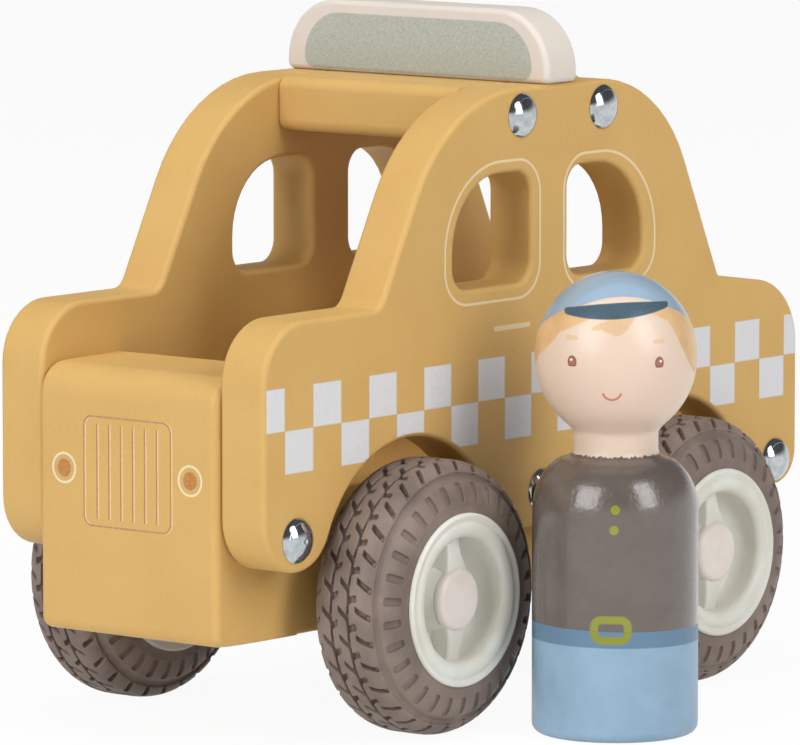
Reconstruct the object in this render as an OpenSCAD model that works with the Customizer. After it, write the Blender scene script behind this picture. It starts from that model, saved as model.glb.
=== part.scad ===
// Wooden toy taxi: two painted side panels screwed to a nose block, a tail block, a chassis
// block and a roof plank, with a sign across the roof, two axles of rubber-tyred wheels and a
// turned peg driver that stands beside it.
// +X is the front of the car, +Y its left side, +Z up. The origin is on the ground below the
// middle of the side panels. All sizes are millimetres.

/* [Body] */
// Length of the side panels
body_len = 172; // [160:1:190]
// Width between the side panels, which is the width of the blocks
cab_w = 45; // [40:0.5:52]
// Thickness of a side panel
panel_t = 11; // [9:0.5:14]
// Height of the roof above the chassis underside
roof_h = 103.1; // [96:0.1:112]
// Height of the hood above the chassis underside
hood_h = 62.9; // [58:0.1:68]
// Height of the rear deck above the chassis underside, at the rear pillar
deck_h = 60.5; // [56:0.1:66]
// Fall of the rear deck from the pillar to the tail
deck_fall = 3.9; // [0:0.1:8]
// Height of the panel's front hem above the chassis underside
front_hem_h = 14.5; // [12:0.1:18]
// Height of the panel's middle and rear hems above the chassis underside
rear_hem_h = 15.5; // [12:0.1:18]

/* [Pillars and corners] */
// Foot of the windscreen pillar ahead of the panel's middle, in half panel lengths
screen_foot_share = 0.592; // [0.54:0.001:0.64]
// Top of the windscreen pillar if its corner were sharp, in half panel lengths
screen_top_share = 0.3465; // [0.31:0.0005:0.4]
// Foot of the rear pillar behind the panel's middle, in half panel lengths
rear_foot_share = 0.685; // [0.63:0.001:0.74]
// Top of the rear pillar if its corner were sharp, in half panel lengths
rear_top_share = 0.4525; // [0.4:0.0005:0.49]
// Radius where the hood turns down at the nose
hood_corner_r = 12; // [6:0.5:16]
// Radius of the roof's front corner
roof_front_r = 36; // [24:0.5:42]
// Radius of the roof's rear corner
roof_rear_r = 31; // [22:0.5:36]
// Radius where the deck turns down at the tail
deck_corner_r = 14; // [6:0.5:18]
// Radius at the foot of the windscreen pillar
screen_foot_r = 4; // [1:0.5:7]
// Radius at the foot of the rear pillar
rear_foot_r = 2; // [1:0.5:6]
// Radius of the lobe between the front arch and the nose
front_lobe_r = 10.3; // [6:0.1:12]
// Radius of the lobes beside the rear arch and between the arches
rear_lobe_r = 7; // [4:0.1:9]

/* [Windows] */
// Width of a window
window_w = 24.6; // [20:0.1:27]
// Height of a window
window_h = 22.1; // [18:0.1:25]
// Height of the panel above the windows
header_h = 16.5; // [13:0.1:20]
// Width of the post between the two windows
post_w = 11.9; // [8:0.1:16]
// Distance of that post behind the middle of the panel
post_back = 2.5; // [0:0.1:6]
// Radius of a window's large outer corner
window_big_r = 14.8; // [8:0.1:17]
// Radius of a window's other corners
window_small_r = 4.5; // [2:0.1:7]

/* [Blocks and planks] */
// Depth of the nose block, front to back
nose_d = 24; // [18:0.5:28]
// Height of the nose block
nose_h = 52; // [46:0.5:58]
// How far the nose and tail blocks stand out past the panels
nose_out = 1.1; // [0:0.1:3]
// Radius of the nose and tail blocks' upper outer edge
nose_top_r = 5; // [2:0.5:8]
// Radius of their other edges
block_edge_r = 1.5; // [0.5:0.1:3]
// Depth of the tail block, front to back
tail_d = 22; // [18:0.5:26]
// Height of the tail block
tail_h = 48.5; // [44:0.5:54]
// Height of the chassis block
chassis_h = 28; // [26:0.5:34]
// Length of the roof plank, front to back
roof_len = 41.6; // [36:0.1:48]
// Thickness of the roof plank
roof_t = 11; // [9:0.5:13]
// Radius of the roof plank's front and back edges
roof_edge_r = 2.5; // [1:0.1:4]
// Distance of the roof plank and sign behind the middle of the panel
roof_back = 6.45; // [3:0.05:10]

/* [Roof sign] */
// Thickness of the sign, front to back
sign_t = 10; // [7:0.5:13]
// Height of the sign above the roof
sign_h = 14.5; // [11:0.5:18]
// Radius of the sign's upper corners
sign_corner_r = 12.3; // [6:0.1:14]
// Radius of its two dowels
dowel_r = 3; // [2:0.1:4]
// Length of a dowel
dowel_len = 16; // [12:0.5:18]
// Distance between the two dowels
dowel_gap = 26; // [20:0.5:32]

/* [Fasteners] */
// Distance of the front screw from the panel's front end
front_screw_in = 9.8; // [7:0.1:14]
// Distance of the rear screw from the panel's rear end
rear_screw_in = 7.7; // [6:0.1:12]
// Height of the front and rear screws above the chassis underside
end_screw_h = 20.8; // [18:0.1:24]
// Depth of the middle screw below the cab floor
mid_screw_drop = 5.4; // [4:0.1:7]
// Distance between the two roof screws
roof_screw_gap = 26.2; // [20:0.1:32]
// Radius of a screw's shank
shank_r = 1.75; // [1.4:0.05:2.2]
// Length of a screw under its head
screw_len = 27; // [22:0.5:29]
// Radius of a screw's head
head_r = 2.6; // [2.4:0.05:2.9]
// Height of a screw's head
head_h = 1; // [0.6:0.05:1.1]
// Radius of the domed cap over a screw
cap_r = 4.45; // [4.2:0.05:5.2]
// Height of that cap
cap_h = 2.3; // [2.2:0.1:3]

/* [Wheels] */
// Radius of a tyre at the crown of its tread
tyre_r = 26.9; // [24:0.1:29]
// Height of an axle above the chassis underside
axle_h = 6.5; // [5:0.1:9]
// Place of the front axle ahead of the panel's middle, in half panel lengths
front_axle_share = 0.4768; // [0.44:0.0001:0.51]
// Place of the rear axle behind the panel's middle, in half panel lengths
rear_axle_share = 0.4976; // [0.45:0.0001:0.53]
// Distance of a tyre's middle plane from the chassis side
wheel_out = 14.1; // [13.5:0.1:19]
// Radius of an axle
axle_r = 2; // [1.5:0.1:2.5]
// Half the width of a rim
rim_half_w = 10.9; // [10.5:0.1:12]
// Radius of a rim's lip
lip_r = 17; // [16:0.1:19]
// How far the lip stands above the barrel that carries the tyre
lip_h = 1.6; // [1:0.1:2.4]
// Rise of the lip's rounded crown above the tyre's bead
lip_crown = 1.2; // [0.6:0.1:1.6]
// Radius of the bowl in a rim's face
bowl_r = 12.2; // [10:0.1:13]
// Depth of that bowl from the lip to the web
bowl_depth = 6.1; // [5:0.1:7]
// Thickness of a rim's web
web_t = 2.4; // [1.6:0.1:3.5]
// Radius of a rim's hub
hub_r = 4.6; // [3.6:0.1:5.2]
// Radius of the cap over the end of a hub
hub_cap_r = 5.95; // [5.6:0.05:7]
// Depth of that cap's face behind the lip
hub_cap_sunk = 2; // [1:0.1:2.5]
// Width of the two ribs across the bowl
rib_w = 4.6; // [3:0.1:6]
// Depth of the ribs' front edge behind the lip
rib_sunk = 3.3; // [2.8:0.1:4]
// Half the width of the tread
tread_half_w = 6.9; // [6:0.1:7.5]
// Fall of the tread from its crown to its edges
tread_fall = 2.5; // [1.5:0.1:3.5]
// Depth of the step from the tread's edge to the sidewall
shoulder_step = 0.9; // [0.4:0.1:1.5]
// Distance of the two tread grooves from the tyre's middle plane
groove_y = 2.15; // [1.5:0.05:3]
// Width of a tread groove
groove_w = 0.8; // [0.4:0.1:1.2]
// Depth of a tread groove
groove_depth = 1.2; // [0.6:0.1:2]
// Thickness of the washer beside a hub
washer_t = 0.8; // [0.5:0.1:1.2]
// Radius of that washer
washer_r = 5; // [4:0.1:6]

/* [Driver] */
// Place of the driver ahead of the middle of the panel
driver_x = 16.8; // [0:0.1:30]
// Room between the driver and the wheels beside it
driver_gap = 0.9; // [0.8:0.1:25]
// Height of the driver
driver_h = 90.2; // [82:0.1:96]
// Radius of the body
driver_r = 16.2; // [14:0.1:16.8]
// Radius of the head
driver_head_r = 15.8; // [13:0.1:16.5]
// Height of the head
driver_head_h = 33; // [28:0.1:36]
// Radius of the neck
neck_r = 8.3; // [6:0.1:10]
// Length of the neck
neck_h = 5.35; // [3:0.05:9]
// Rise of the rounded shoulders
shoulder_rise = 10.8; // [6:0.1:12]
// Radius of the edge at the base
foot_r = 2; // [0.5:0.1:3]

/* [Clearances] */
// Radial room between an axle and its bore
axle_play = 0.05; // [0.02:0.01:0.1]
// Room on each face of a hub washer
washer_play = 0.2; // [0.1:0.05:0.4]
// Radial room between a screw's shank and its panel
shank_play = 0.15; // [0.05:0.05:0.3]
// Room between a screw's head and its cap
head_play = 0.05; // [0.02:0.01:0.1]
// How much larger a wheel arch is than its tyre
arch_play = 0.5; // [0.3:0.1:2]
// How far the arch's centre lies above the axle
arch_lift = 3.3; // [2:0.1:5]

/* [Hidden] */
$fn = 64;
// Steps along a rounded corner or an arch, and by how much a cut overruns its piece
corner_steps = 10;
arch_steps = 28;
oval_steps = 16;
overrun = 1;

// Heights: the tyres carry the axles, and the axles carry the chassis
axle_z = tyre_r;
base_z = axle_z - axle_h;
front_hem_z = base_z + front_hem_h;
rear_hem_z = base_z + rear_hem_h;
roof_z = base_z + roof_h;
sill_z = roof_z - header_h - window_h;
roof_mid_z = roof_z - roof_t / 2;
arch_z = axle_z + arch_lift;
arch_r = tyre_r + arch_play;

// Places along and across the car
panel_x = body_len / 2;
front_axle_x = front_axle_share * panel_x;
rear_axle_x = rear_axle_share * panel_x;
inner_y = cab_w / 2;
outer_y = inner_y + panel_t;
wheel_y = inner_y + wheel_out;
nose_front_x = panel_x + nose_out;
nose_back_x = nose_front_x - nose_d;
tail_front_x = tail_d - nose_front_x;
hub_in = inner_y + washer_t + 2 * washer_play - wheel_y;

// Places outwards from a tyre's middle plane
barrel_r = lip_r - lip_h;
web_out = rim_half_w - bowl_depth;
web_in = web_out - web_t;
hub_out = rim_half_w - rib_sunk;
hub_cap_face = rim_half_w - hub_cap_sunk;
lip_bead_r = (lip_r - bowl_r) / 2;
bead_half_w = rim_half_w - lip_crown;
barrel_wall = barrel_r - bowl_r;
sidewall_r = tyre_r - tread_fall - shoulder_step;
hub_cap_wall = hub_cap_r - hub_r;
hub_cap_edge_r = hub_cap_wall / 2;

// The driver's place, the middle of the head, the chin's angle on it, and the shoulders below
driver_y = wheel_y + rim_half_w + driver_gap + driver_r;
head_z = driver_h - driver_head_h / 2;
chin_angle = acos(neck_r / driver_head_r);
shoulder_h = head_z - driver_head_h / 2 * sin(chin_angle) - neck_h - shoulder_rise;

PANEL_SCREWS = [
    [panel_x - front_screw_in, base_z + end_screw_h],
    [0, base_z + chassis_h - mid_screw_drop],
    [rear_screw_in - panel_x, base_z + end_screw_h],
    [roof_screw_gap / 2 - roof_back, roof_mid_z],
    [-roof_screw_gap / 2 - roof_back, roof_mid_z]
];

// Points of an arc about c, from angle a to angle b
function arc(c, r, a, b, steps = corner_steps) =
    [for (i = [0:steps]) let (t = a + (b - a) * i / steps) c + r * [cos(t), sin(t)]];

// Points of an ellipse about c with half sizes h, from angle a to angle b
function oval(c, h, a, b) =
    [for (i = [0:oval_steps]) let (t = a + (b - a) * i / oval_steps) c + [h.x * cos(t), h.y * sin(t)]];

// The unit vector of v
function unit(v) = v / norm(v);

// The angle b, turned by whole circles to lie within half a circle of a
function near_angle(a, b) = b - 360 * round((b - a) / 360);

// Points that round the corner c between p and n with radius r
function rounded_corner(p, c, n, r) =
    let (
        u = unit(p - c),
        v = unit(n - c),
        half = acos(u * v) / 2,
        m = c + unit(u + v) * r / sin(half),
        s = c + u * r / tan(half) - m,
        e = c + v * r / tan(half) - m,
        a = atan2(s.y, s.x)
    )
    arc(m, r, a, near_angle(a, atan2(e.y, e.x)));

// A closed outline from corners [x, y, radius]
function rounded_outline(corners) =
    let (count = len(corners), at = function(i) let (k = corners[(i + count) % count]) [k.x, k.y])
    [for (i = [0:count - 1]) each rounded_corner(at(i - 1), at(i), at(i + 1), corners[i].z)];

// A lobe is a circle that touches its hem and, from outside, the arch beside it
function lobe_reach(r, hem) = sqrt(pow(arch_r + r, 2) - pow(hem + r - arch_z, 2));
function lobe_tilt(r, hem) = asin((hem + r - arch_z) / (arch_r + r));

// The outline of a side panel, seen from the car's left: nose, hood, roof, deck, tail, arches
function panel_outline() =
    let (
        nose_lobe_x = front_axle_x + lobe_reach(front_lobe_r, front_hem_z),
        tail_lobe_x = -rear_axle_x - lobe_reach(rear_lobe_r, rear_hem_z),
        mid_front_x = front_axle_x - lobe_reach(rear_lobe_r, rear_hem_z),
        mid_rear_x = -rear_axle_x + lobe_reach(rear_lobe_r, rear_hem_z),
        nose_r = min(front_lobe_r, panel_x - nose_lobe_x),
        tail_r = min(rear_lobe_r, panel_x + tail_lobe_x),
        front_tilt = lobe_tilt(front_lobe_r, front_hem_z),
        rear_tilt = lobe_tilt(rear_lobe_r, rear_hem_z),
        rear_lobe_z = rear_hem_z + rear_lobe_r,
        hood = [panel_x, base_z + hood_h],
        screen_foot = [screen_foot_share * panel_x, base_z + hood_h],
        screen_top = [screen_top_share * panel_x, roof_z],
        rear_top = [-rear_top_share * panel_x, roof_z],
        rear_foot = [-rear_foot_share * panel_x, base_z + deck_h],
        deck = [-panel_x, base_z + deck_h - deck_fall],
        nose_hem = [panel_x, front_hem_z],
        tail_hem = [-panel_x, rear_hem_z]
    )
    concat(
        arc([panel_x - nose_r, front_hem_z + nose_r], nose_r, 270, 360),
        rounded_corner(nose_hem, hood, screen_foot, hood_corner_r),
        rounded_corner(hood, screen_foot, screen_top, screen_foot_r),
        rounded_corner(screen_foot, screen_top, rear_top, roof_front_r),
        rounded_corner(screen_top, rear_top, rear_foot, roof_rear_r),
        rounded_corner(rear_top, rear_foot, deck, rear_foot_r),
        rounded_corner(rear_foot, deck, tail_hem, deck_corner_r),
        arc([tail_r - panel_x, rear_hem_z + tail_r], tail_r, 180, 270),
        arc([tail_lobe_x, rear_lobe_z], rear_lobe_r, 270, 360 - rear_tilt),
        arc([-rear_axle_x, arch_z], arch_r, 180 - rear_tilt, rear_tilt, arch_steps),
        arc([mid_rear_x, rear_lobe_z], rear_lobe_r, 180 + rear_tilt, 270),
        arc([mid_front_x, rear_lobe_z], rear_lobe_r, 270, 360 - rear_tilt),
        arc([front_axle_x, arch_z], arch_r, 180 - rear_tilt, front_tilt, arch_steps),
        arc([nose_lobe_x, front_hem_z + front_lobe_r], front_lobe_r, 180 + front_tilt, 270)
    );

// The front window; the rear one is its mirror image about the post
function window_outline() = rounded_outline([
    [0, 0, window_small_r],
    [window_w, 0, window_small_r],
    [window_w, window_h, min(window_big_r, window_h - window_small_r, window_w - window_small_r)],
    [0, window_h, window_small_r]
]);

// Stands a drawing of x and z up across the car, from y = a to y = b
module across(a, b) {
    translate([0, b, 0]) rotate([90, 0, 0]) linear_extrude(b - a) children();
}

// Puts its children at each panel screw, with their z axis outwards on that side
module at_screws(side) {
    for (p = PANEL_SCREWS) translate([p.x, side * outer_y, p.y]) rotate([-90 * side, 0, 0]) children();
}

// The pilot holes that the panel screws cut in a block
module screw_holes(r) {
    for (side = [-1, 1]) at_screws(side) translate([0, 0, -screw_len])
        cylinder(r = r, h = screw_len + overrun);
}

// A side panel, on the car's left where side is 1 and on its right where side is -1
module side_panel(side) {
    right_face_y = side > 0 ? inner_y : -outer_y;
    color("#d0a35c") difference() {
        across(right_face_y, right_face_y + panel_t) difference() {
            polygon(panel_outline());
            for (way = [-1, 1]) translate([-post_back, sill_z]) scale([way, 1]) translate([post_w / 2, 0])
                polygon(window_outline());
        }
        screw_holes(shank_r + shank_play);
    }
}

module left_side_panel() { side_panel(1); }

module right_side_panel() { side_panel(-1); }

// A block between the panels from x = back to x = front, with one large upper outer edge
module end_block(back, front, h, outer_is_front) {
    color("#d9ae69") difference() {
        across(-inner_y, inner_y) polygon(rounded_outline([
            [back, base_z, block_edge_r],
            [front, base_z, block_edge_r],
            [front, base_z + h, outer_is_front ? nose_top_r : block_edge_r],
            [back, base_z + h, outer_is_front ? block_edge_r : nose_top_r]
        ]));
        screw_holes(shank_r);
    }
}

module nose_block() { end_block(nose_back_x, nose_front_x, nose_h, true); }

module tail_block() { end_block(-nose_front_x, tail_front_x, tail_h, false); }

// The chassis block between the nose and tail blocks, which is also the cab's floor
module chassis_block() {
    color("#c59a56") difference() {
        translate([tail_front_x, -inner_y, base_z]) cube([nose_back_x - tail_front_x, cab_w, chassis_h]);
        screw_holes(shank_r);
        for (x = [front_axle_x, -rear_axle_x]) translate([x, inner_y + overrun, axle_z]) rotate([90, 0, 0])
            cylinder(r = axle_r + axle_play, h = cab_w + 2 * overrun);
    }
}

// The plank between the tops of the panels
module roof_plank() {
    front = roof_len / 2 - roof_back;
    back = front - roof_len;
    color("#d9ae69") difference() {
        across(-inner_y, inner_y) polygon(rounded_outline([
            [back, roof_z - roof_t, roof_edge_r],
            [front, roof_z - roof_t, roof_edge_r],
            [front, roof_z, roof_edge_r],
            [back, roof_z, roof_edge_r]
        ]));
        screw_holes(shank_r);
        dowels();
    }
}

// The two dowels, half in the roof plank and half in the sign
module dowels() {
    for (side = [-1, 1]) translate([-roof_back, side * dowel_gap / 2, roof_z - dowel_len / 2])
        cylinder(r = dowel_r, h = dowel_len);
}

// The sign, a rounded board on the roof plank and the panels' tops
module roof_sign() {
    corner_r = min(sign_corner_r, sign_h - block_edge_r);
    color("#efe6d6") difference() {
        translate([-roof_back - sign_t / 2, 0, roof_z]) rotate([90, 0, 90]) linear_extrude(sign_t)
            polygon(rounded_outline([
                [-outer_y, 0, block_edge_r],
                [outer_y, 0, block_edge_r],
                [outer_y, sign_h, corner_r],
                [-outer_y, sign_h, corner_r]
            ]));
        dowels();
    }
}

module sign_dowels() { color("#d8b98a") dowels(); }

// A wood screw with its head on the panel
module panel_screw() {
    cylinder(r = head_r, h = head_h);
    translate([0, 0, -screw_len]) cylinder(r = shank_r, h = screw_len);
}

// A domed cap, hollow over the head of its screw
module screw_cap() {
    dome_r = (cap_r * cap_r + cap_h * cap_h) / (2 * cap_h);
    rotate_extrude() difference() {
        intersection() {
            translate([0, cap_h - dome_r]) circle(dome_r);
            square([cap_r, cap_h]);
        }
        translate([0, -overrun]) square([head_r + head_play, head_h + head_play + overrun]);
    }
}

module left_screws() { color("#a9a9a6") at_screws(1) panel_screw(); }

module right_screws() { color("#a9a9a6") at_screws(-1) panel_screw(); }

module left_screw_caps() { color("#d5d9da") at_screws(1) screw_cap(); }

module right_screw_caps() { color("#d5d9da") at_screws(-1) screw_cap(); }

// Puts its children on a wheel's axis at the tyre's middle plane, with their z axis outwards
module at_wheel(x, side) {
    translate([x, side * wheel_y, axle_z]) rotate([-90 * side, 0, 0]) children();
}

// A plain steel rod from hub to hub
module axle(x) {
    color("#9b9b98") for (side = [-1, 1]) at_wheel(x, side)
        translate([0, 0, -wheel_y]) cylinder(r = axle_r, h = wheel_y + hub_out);
}

// Two thin washers on an axle, each between a hub and the chassis
module washers(x) {
    inner_face = hub_in - washer_play - washer_t;
    color("#bdbdb8") for (side = [-1, 1]) at_wheel(x, side) translate([0, 0, inner_face]) difference() {
        cylinder(r = washer_r, h = washer_t);
        translate([0, 0, -overrun]) cylinder(r = axle_r, h = washer_t + 2 * overrun);
    }
}

module front_axle() { axle(front_axle_x); }

module rear_axle() { axle(-rear_axle_x); }

module front_washers() { washers(front_axle_x); }

module rear_washers() { washers(-rear_axle_x); }

// Half the section of a tyre outside its rim, as points [radius, distance from the middle plane]
function tread_half() = [
    [tyre_r, 0],
    [tyre_r, groove_y - groove_w / 2],
    [tyre_r - groove_depth, groove_y - groove_w / 2],
    [tyre_r - groove_depth, groove_y + groove_w / 2],
    [tyre_r, groove_y + groove_w / 2],
    for (t = [1:corner_steps]) let (
        a = 90 * t / corner_steps,
        start = groove_y + groove_w / 2
    ) [tyre_r - tread_fall * (1 - cos(a)), start + (tread_half_w - start) * sin(a)],
    each oval([lip_r, tread_half_w], [sidewall_r - lip_r, bead_half_w - tread_half_w], 0, 90),
    [barrel_r, bead_half_w]
];

// A rubber tyre, the same on both sides of its middle plane
module tyre(x, side) {
    half = tread_half();
    count = len(half);
    other = [for (i = [count - 1:-1:1]) [half[i].x, -half[i].y]];
    color("#7c6b62") at_wheel(x, side) rotate_extrude() polygon(concat(other, half));
}

module front_left_tyre() { tyre(front_axle_x, 1); }

module front_right_tyre() { tyre(front_axle_x, -1); }

module rear_left_tyre() { tyre(-rear_axle_x, 1); }

module rear_right_tyre() { tyre(-rear_axle_x, -1); }

// The section of a rim: barrel, inner flange, rounded outer lip, web and hub
module rim_section() {
    difference() {
        union() {
            translate([bowl_r, web_in]) square([barrel_wall, bead_half_w - web_in]);
            translate([barrel_r - lip_h, -rim_half_w]) square([lip_h, rim_half_w + web_out]);
            translate([barrel_r, -rim_half_w]) square([lip_h, lip_crown]);
            translate([bowl_r + lip_bead_r, bead_half_w]) scale([1, lip_crown / lip_bead_r])
                circle(lip_bead_r);
            translate([0, web_in]) square([bowl_r, web_t]);
            translate([0, hub_in]) square([hub_r, hub_out - hub_in]);
        }
        translate([barrel_r, -bead_half_w]) square([lip_bead_r, 2 * bead_half_w]);
        translate([-overrun, hub_in - overrun]) square([axle_r + overrun, hub_out - hub_in + 2 * overrun]);
    }
}

// A moulded rim with two ribs across its bowl
module rim(x, side) {
    rib_len = bowl_r - hub_cap_r;
    color("#e4e2da") at_wheel(x, side) {
        rotate_extrude() rim_section();
        for (way = [0, 180]) rotate([0, 0, way]) translate([-rib_w / 2, hub_cap_r, web_in])
            cube([rib_w, rib_len + barrel_wall / 2, hub_out - web_in]);
    }
}

module front_left_rim() { rim(front_axle_x, 1); }

module front_right_rim() { rim(front_axle_x, -1); }

module rear_left_rim() { rim(-rear_axle_x, 1); }

module rear_right_rim() { rim(-rear_axle_x, -1); }

// A cup that closes the end of a hub, with a rounded edge on its face
module hub_cap(x, side) {
    color("#e6dfda") at_wheel(x, side) rotate_extrude() difference() {
        union() {
            translate([0, web_out]) square([hub_cap_r, hub_cap_face - hub_cap_edge_r - web_out]);
            translate([0, web_out]) square([hub_cap_r - hub_cap_edge_r, hub_cap_face - web_out]);
            translate([hub_cap_r - hub_cap_edge_r, hub_cap_face - hub_cap_edge_r]) circle(hub_cap_edge_r);
        }
        translate([-overrun, web_out - overrun]) square([hub_r + overrun, hub_out - web_out + overrun]);
    }
}

module front_left_hub_cap() { hub_cap(front_axle_x, 1); }

module front_right_hub_cap() { hub_cap(front_axle_x, -1); }

module rear_left_hub_cap() { hub_cap(-rear_axle_x, 1); }

module rear_right_hub_cap() { hub_cap(-rear_axle_x, -1); }

// The driver: a turned peg with a round foot edge, rounded shoulders, a neck and an oval head
module driver_peg() {
    foot = arc([driver_r - foot_r, foot_r], foot_r, 270, 360);
    shoulder = oval([neck_r, shoulder_h], [driver_r - neck_r, shoulder_rise], 0, 90);
    head = oval([0, head_z], [driver_head_r, driver_head_h / 2], -chin_angle, 90);
    color("#8fa9bf") translate([driver_x, driver_y, 0])
        rotate_extrude() polygon(concat([[0, 0]], foot, shoulder, head));
}

left_side_panel();
right_side_panel();
nose_block();
tail_block();
chassis_block();
roof_plank();
roof_sign();
sign_dowels();
left_screws();
right_screws();
left_screw_caps();
right_screw_caps();
front_axle();
rear_axle();
front_washers();
rear_washers();
front_left_tyre();
front_right_tyre();
rear_left_tyre();
rear_right_tyre();
front_left_rim();
front_right_rim();
rear_left_rim();
rear_right_rim();
front_left_hub_cap();
front_right_hub_cap();
rear_left_hub_cap();
rear_right_hub_cap();
driver_peg();
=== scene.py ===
import math
from functools import partialmethod

import bmesh
import bpy
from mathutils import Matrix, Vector


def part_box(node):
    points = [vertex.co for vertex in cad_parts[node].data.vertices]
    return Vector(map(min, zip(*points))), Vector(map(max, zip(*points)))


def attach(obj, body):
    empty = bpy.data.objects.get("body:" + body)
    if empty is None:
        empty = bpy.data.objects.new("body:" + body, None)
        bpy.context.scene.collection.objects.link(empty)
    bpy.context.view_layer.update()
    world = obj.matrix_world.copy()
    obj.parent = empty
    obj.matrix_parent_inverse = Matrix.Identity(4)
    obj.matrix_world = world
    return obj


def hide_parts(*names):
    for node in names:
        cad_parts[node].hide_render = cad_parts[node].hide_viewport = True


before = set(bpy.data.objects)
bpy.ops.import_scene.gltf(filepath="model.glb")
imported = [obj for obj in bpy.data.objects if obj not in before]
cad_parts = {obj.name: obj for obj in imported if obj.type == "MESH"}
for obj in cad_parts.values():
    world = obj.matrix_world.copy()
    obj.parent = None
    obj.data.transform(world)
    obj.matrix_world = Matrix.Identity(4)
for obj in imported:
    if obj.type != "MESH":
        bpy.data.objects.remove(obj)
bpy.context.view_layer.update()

# Camera: a long lens a metre and a half from the toy, a little above its hood, turned from the
# car's front towards its left side, so that the nose, the left panel and the driver show.
MM = 0.001
VIEW_TURN = math.radians(38.896)
VIEW_RISE = math.radians(6.817)
VIEW_DISTANCE = 1542.4 * MM
VIEW_TARGET = Vector((0, -2.73, 63.76)) * MM
LENS = 345.08

ahead = Vector((math.cos(VIEW_TURN), math.sin(VIEW_TURN), 0))
to_camera = ahead * math.cos(VIEW_RISE) + Vector((0, 0, math.sin(VIEW_RISE)))
bpy.ops.object.camera_add(location=VIEW_TARGET + VIEW_DISTANCE * to_camera)
camera = bpy.context.object
camera.rotation_euler = to_camera.to_track_quat("Z", "Y").to_euler()
camera.data.lens = LENS
bpy.context.scene.camera = camera
bpy.context.scene.view_settings.view_transform = "Standard"

# Studio: a wide floor of matt white card in a white room whose walls darken upwards, lit by soft
# boxes on both sides of the camera and one overhead. The card keeps the toy's soft shadow.
FLOOR_SIZE = 8.0
FLOOR_DROP = 0.02 * MM
CARD_WHITE = (0.90, 0.90, 0.89, 1)
CARD_SHADE = (0.88, 0.88, 0.87, 1)
CARD_DRIFT_SCALE = 3.0
CARD_DRIFT_SPAN = (0.2, 0.8)
CARD_ROUGHNESS = 0.9
CARD_SHINE = 0.1
CARD_SEEN_SHARE = 0.94
ROOM_WHITE = (1, 1, 1, 1)
ROOM_LIGHT = 0.15
CEILING_GREY = (0.10, 0.105, 0.115, 1)
CEILING_START = 0.35
# Soft boxes: name, place about the toy in metres (towards the camera, to its right, up), width and
# height in metres, watts, and whether shiny pieces mirror the box
SOFT_BOXES = [
    ("left_box", (0.85, -0.75, 0.55), 0.70, 0.80, 9.3, True),
    ("right_box", (0.75, 0.80, 0.60), 0.50, 0.90, 8.0, True),
    ("top_box", (0.05, -0.05, 1.20), 1.00, 1.00, 7.7, False),
]


class Value:
    """What a shader node puts out. Sums and tests on it add Math nodes to its tree."""

    def __init__(self, socket):
        self.socket = socket
        self.tree = socket.id_data

    def __getitem__(self, output):
        """Another output of the same node."""
        return Value(self.socket.node.outputs[output])

    def calc(self, operation, *others):
        """The result of a Math node on this value and others."""
        return wire(self.tree, "Math", dict(enumerate((self, *others))), operation=operation)

    def __rsub__(self, other):
        return self * -1 + other

    __add__ = partialmethod(calc, "ADD")
    __sub__ = partialmethod(calc, "SUBTRACT")
    __mul__ = partialmethod(calc, "MULTIPLY")
    __truediv__ = partialmethod(calc, "DIVIDE")
    __abs__ = partialmethod(calc, "ABSOLUTE")
    __gt__ = partialmethod(calc, "GREATER_THAN")
    __lt__ = partialmethod(calc, "LESS_THAN")


def plug(sockets, values):
    """Sets inputs of a node, and links those whose values other nodes put out."""
    for key, value in values.items():
        if isinstance(value, Value):
            value.tree.links.new(value.socket, sockets[key])
        else:
            sockets[key].default_value = value


def wire(tree, kind, inputs=None, **settings):
    """Adds a shader node with its settings and inputs, and returns its first output."""
    node = tree.nodes.new("ShaderNode" + kind)
    for name, value in settings.items():
        setattr(node, name, value)
    plug(node.inputs, inputs or {})
    return Value(node.outputs[0])


def background_rays(tree):
    """1 for the rays that show the room itself: from the camera, in a mirror or through glass."""
    rays = wire(tree, "LightPath")
    seen = rays["Is Camera Ray"].calc("MAXIMUM", rays["Is Glossy Ray"])
    return seen.calc("MAXIMUM", rays["Is Transmission Ray"])


def ramp(value, low, high, start=0.0, end=1.0):
    """A smooth step from start to end as the value goes from low to high."""
    limits = {"Value": value, "From Min": low, "From Max": high, "To Min": start, "To Max": end}
    return wire(value.tree, "MapRange", limits, interpolation_type="SMOOTHSTEP")


def tint(mask, below, above):
    """The colour below, covered by the colour above where the mask is 1."""
    return wire(mask.tree, "Mix", {0: mask, 6: below, 7: above}, data_type="RGBA")[2]


def noise(place, scale, detail=2.0, roughness=0.5):
    """Soft random values from 0 to 1 over a place."""
    settings = {"Vector": place, "Scale": scale, "Detail": detail, "Roughness": roughness}
    return wire(place.tree, "TexNoise", settings)


def new_material(name):
    """A material, its node tree and its Principled shader."""
    material = bpy.data.materials.new(name)
    material.use_nodes = True
    return material, material.node_tree, material.node_tree.nodes["Principled BSDF"]


card, tree, shader = new_material("studio_card")
card_drift = noise(wire(tree, "TexCoord")["Object"], CARD_DRIFT_SCALE)
plug(shader.inputs, {
    "Base Color": tint(ramp(card_drift, *CARD_DRIFT_SPAN), CARD_WHITE, CARD_SHADE),
    "Roughness": CARD_ROUGHNESS,
    "Specular IOR Level": CARD_SHINE,
})
glow = wire(tree, "Emission", {"Color": ROOM_WHITE, "Strength": 1.0})
card_seen = background_rays(tree) * CARD_SEEN_SHARE
card_mix = wire(tree, "MixShader", {0: card_seen, 1: Value(shader.outputs[0]), 2: glow})
plug(tree.nodes["Material Output"].inputs, {"Surface": card_mix})

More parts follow.
